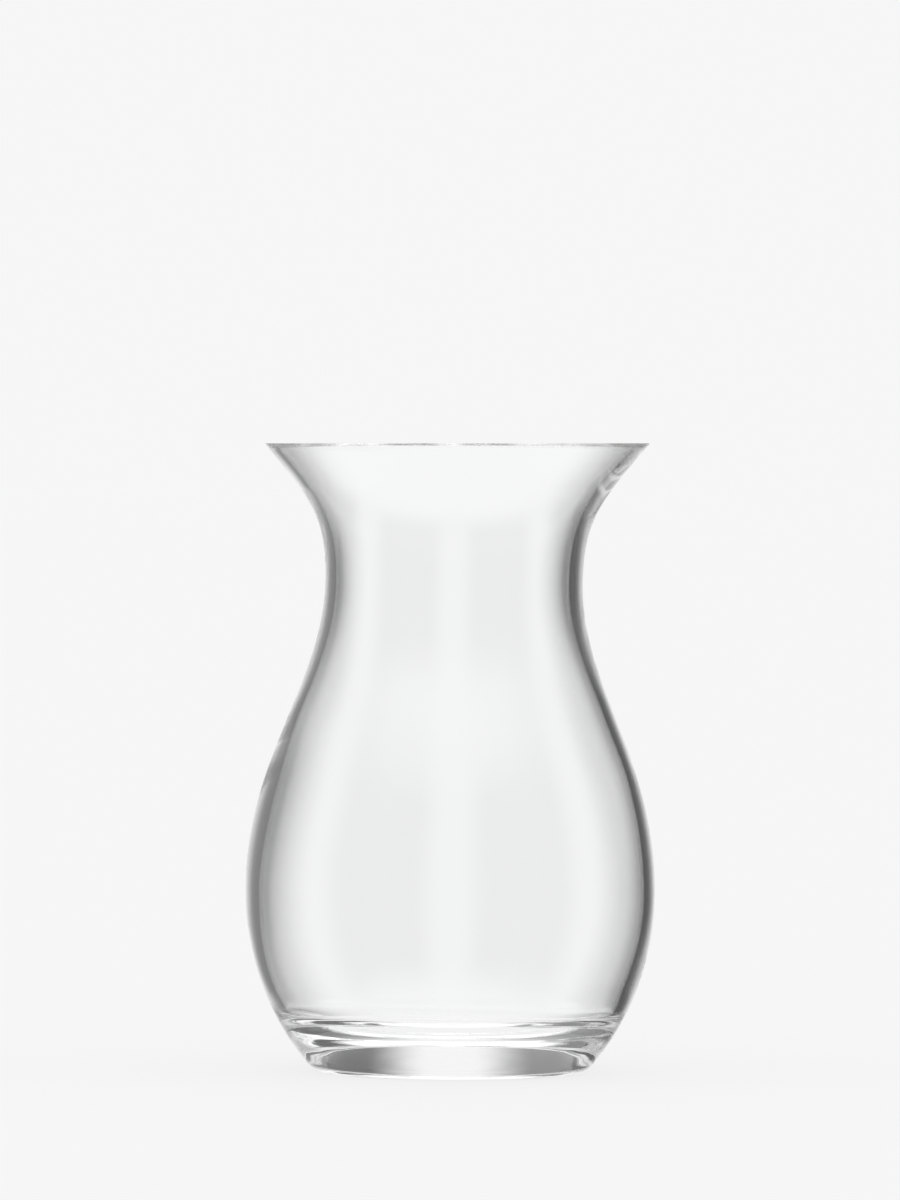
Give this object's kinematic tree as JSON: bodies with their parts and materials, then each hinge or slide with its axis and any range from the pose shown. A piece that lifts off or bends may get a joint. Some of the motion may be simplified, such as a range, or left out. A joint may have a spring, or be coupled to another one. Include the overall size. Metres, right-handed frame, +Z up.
{
  "type": "posy vase",
  "caption": "Small clear blown-glass vase with a round belly, drawn-in neck, flared flat-ground rim and thick base, for a short bunch of flowers.",
  "frame": {"origin": "centre of the flat ring that the vase stands on, at table level", "axes": "+Z up along the vase's axis of turning, +X and +Y across it, all directions around +Z alike"},
  "size_m": [0.1138, 0.1138, 0.175],
  "materials": {
    "clear_glass": "colourless, smooth and fully transparent, with fine ripples left by blowing and a ground rim"
  },
  "bodies": {
    "root": {"glass_vessel": "clear_glass"}
  },
  "joints": []
}
